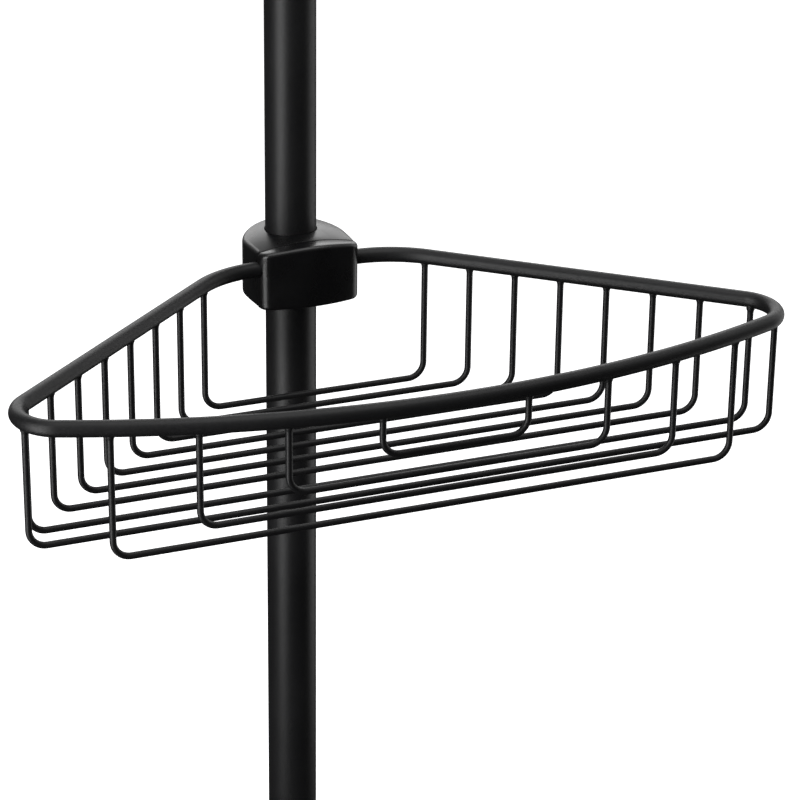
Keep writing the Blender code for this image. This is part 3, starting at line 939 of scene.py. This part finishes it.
studio = {
    "floorRadius": 14.0,
    "floorColour": "#e9e9ea",
    "floorDapple": 1.02,  # its paler patches, times the floor's colour
    "floorGlow": 0.95,
    "backdrop": "#ffffff",
    "dimmest": 0.02,  # the world's light where no lobe reaches
    "aimAhead": 0.1,  # the lamps point this far in front of the pole
    "lamps": {  # place, size, and power in watts
        "leftSoftbox": ((-1.03, -0.53, 0.96), (0.68, 1.9), 21),
        "rightSoftbox": ((1.12, 0.0, 0.96), (0.9, 1.9), 6),
        "overheadSoftbox": ((0.1, -0.3, 3.0), (2.0, 2.0), 20),
        "rearSoftbox": ((0.95, 2.2, 2.0), (3.2, 1.0), 20),
    },
}


def makeFloor():
    bm = bmesh.new()
    bmesh.ops.create_circle(bm, cap_ends=True, segments=96, radius=studio["floorRadius"])
    floor = bpy.data.objects.new("studioFloor", toMesh("studioFloor", bm))
    bpy.context.scene.collection.objects.link(floor)
    material, tree, shader, place = newMaterial("paleStudioFloor")
    dapple = addNode(tree, "ShaderNodeTexNoise", {"Scale": 3.0, "Detail": 2.0}, {"Vector": place})
    shade = hexColour(studio["floorColour"])
    pale = tuple(min(1.0, value * studio["floorDapple"]) for value in shade[:3]) + (1.0,)
    colour = addRamp(tree, dapple.outputs["Fac"], 0.3, 0.7, (shade, pale))
    tree.links.new(colour, shader.inputs["Base Color"])
    shader.inputs["Roughness"].default_value = 0.9
    shader.inputs["Emission Color"].default_value = (1, 1, 1, 1)
    shader.inputs["Emission Strength"].default_value = studio["floorGlow"]
    floor.data.materials.append(material)
    floor.visible_glossy = False
    floor.visible_diffuse = False


def aim(obj, target):
    direction = Vector(target) - obj.location
    obj.rotation_euler = direction.to_track_quat("-Z", "Y").to_euler()


def makeLamps(target):
    for name, (place, size, power) in studio["lamps"].items():
        light = bpy.data.lights.new(name, "AREA")
        light.shape = "RECTANGLE"
        light.size, light.size_y = size
        light.energy = power
        lamp = bpy.data.objects.new(name, light)
        lamp.location = place
        lamp.visible_camera = False
        bpy.context.scene.collection.objects.link(lamp)
        aim(lamp, target)


worldLobes = (  # direction, cosine of the angle where it starts, strength
    ((0.3, 0.8, 0.45), 0.55, 0.6),
    ((0.0, -0.3, 1.0), 0.2, 0.3),
)


def makeWorld():
    # white to look at, and for reflections bright behind and above, dim in front
    world = bpy.data.worlds.new("studioWorld")
    world.use_nodes = True
    tree = world.node_tree
    tree.nodes.clear()
    direction = addNode(tree, "ShaderNodeTexCoord").outputs["Generated"]
    total = addNode(tree, "ShaderNodeValue")
    total.outputs[0].default_value = studio["dimmest"]
    total = total.outputs[0]
    for towards, start, strength in worldLobes:
        unit = Vector(towards).normalized()
        facing = addNode(
            tree,
            "ShaderNodeVectorMath",
            {"operation": "DOT_PRODUCT", 1: unit},
            {0: direction},
        )
        lobe = addNode(
            tree,
            "ShaderNodeMapRange",
            {"interpolation_type": "SMOOTHSTEP", "From Min": start, "From Max": 1.0, "To Max": strength},
            {"Value": facing.outputs["Value"]},
        )
        total = addNode(
            tree, "ShaderNodeMath", {"operation": "ADD"}, {0: total, 1: lobe.outputs["Result"]}
        ).outputs["Value"]
    lit = addNode(tree, "ShaderNodeBackground", {"Color": (1, 1, 1, 1)}, {"Strength": total})
    seen = addNode(tree, "ShaderNodeBackground", {"Color": hexColour(studio["backdrop"]), "Strength": 1.0})
    path = addNode(tree, "ShaderNodeLightPath")
    mixed = addNode(
        tree,
        "ShaderNodeMixShader",
        links={0: path.outputs["Is Camera Ray"], 1: lit.outputs[0], 2: seen.outputs[0]},
    )
    output = addNode(tree, "ShaderNodeOutputWorld", links={"Surface": mixed.outputs[0]})
    output.is_active_output = True
    bpy.context.scene.world = world


shot = {  # the camera, measured from the pole's axis at the upper rim's height
    "place": Vector((-476.5, -1270.6, 494.05)) * mm,
    "yaw": 0.3988,  # radians, as the two below
    "pitch": 0.4004,
    "roll": 0.0124,
    "lens": 132.78,
    "sensor": 36.0,
}


def makeCamera(rimHeight):
    camera = bpy.data.cameras.new("shot")
    camera.lens = shot["lens"]
    camera.sensor_width = shot["sensor"]
    camera.clip_end = 100
    rig = bpy.data.objects.new("shot", camera)
    bpy.context.scene.collection.objects.link(rig)
    turn = (
        Matrix.Rotation(-shot["yaw"], 4, "Z")
        @ Matrix.Rotation(math.pi / 2 - shot["pitch"], 4, "X")
        @ Matrix.Rotation(shot["roll"], 4, "Z")
    )
    rig.matrix_world = Matrix.Translation(shot["place"] + Vector((0, 0, rimHeight))) @ turn
    bpy.context.scene.camera = rig


makeFloor()
makeLamps((0, -studio["aimAhead"], shotHeight))
makeWorld()
makeCamera(shotHeight)
bpy.context.scene.view_settings.view_transform = "Standard"
print("studio made")
